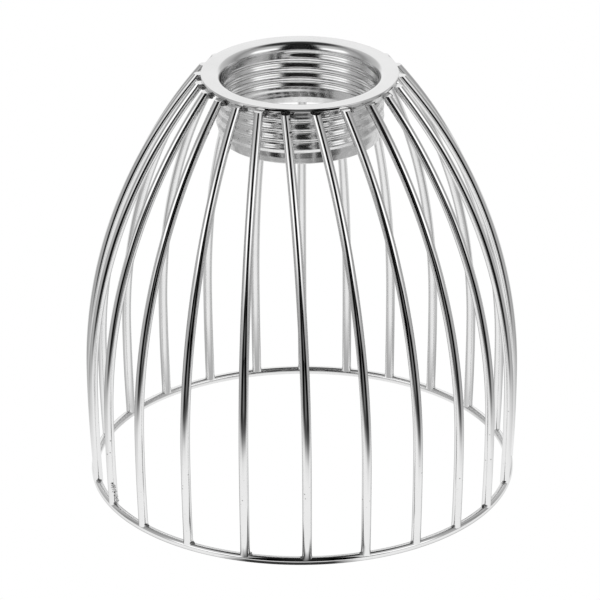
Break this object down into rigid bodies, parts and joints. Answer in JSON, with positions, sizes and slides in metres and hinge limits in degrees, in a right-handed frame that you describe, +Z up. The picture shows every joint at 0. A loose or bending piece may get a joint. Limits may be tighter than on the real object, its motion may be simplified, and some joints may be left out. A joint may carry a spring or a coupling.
{
  "type": "wire cage lampshade",
  "caption": "Bell-shaped open cage of bowed metal wires on a round bottom ring, with a flanged, threaded collar at the top that screws onto a lampholder.",
  "frame": {"origin": "on the shade's axis, at the surface that the bottom ring stands on", "axes": "+Z up along the shade's axis towards the collar, -Y towards the viewer of the picture, +X to that viewer's right"},
  "size_m": [0.1034, 0.1034, 0.1024],
  "materials": {
    "plated_collar": "bright chrome plating on pressed and rolled steel sheet",
    "plated_ring_wire": "bright chrome plating on drawn steel wire",
    "plated_rib_wire": "bright chrome plating on drawn steel wire, with small pits near the feet"
  },
  "bodies": {
    "root": {"threaded_collar": "plated_collar", "bottom_ring": "plated_ring_wire", "rib_01": "plated_rib_wire", "rib_02": "plated_rib_wire", "rib_03": "plated_rib_wire", "rib_04": "plated_rib_wire", "rib_05": "plated_rib_wire", "rib_06": "plated_rib_wire", "rib_07": "plated_rib_wire", "rib_08": "plated_rib_wire", "rib_09": "plated_rib_wire", "rib_10": "plated_rib_wire", "rib_11": "plated_rib_wire", "rib_12": "plated_rib_wire", "rib_13": "plated_rib_wire", "rib_14": "plated_rib_wire", "rib_15": "plated_rib_wire", "rib_16": "plated_rib_wire", "rib_17": "plated_rib_wire", "rib_18": "plated_rib_wire", "rib_19": "plated_rib_wire", "rib_20": "plated_rib_wire", "rib_21": "plated_rib_wire", "rib_22": "plated_rib_wire", "rib_23": "plated_rib_wire", "rib_24": "plated_rib_wire"}
  },
  "joints": []
}
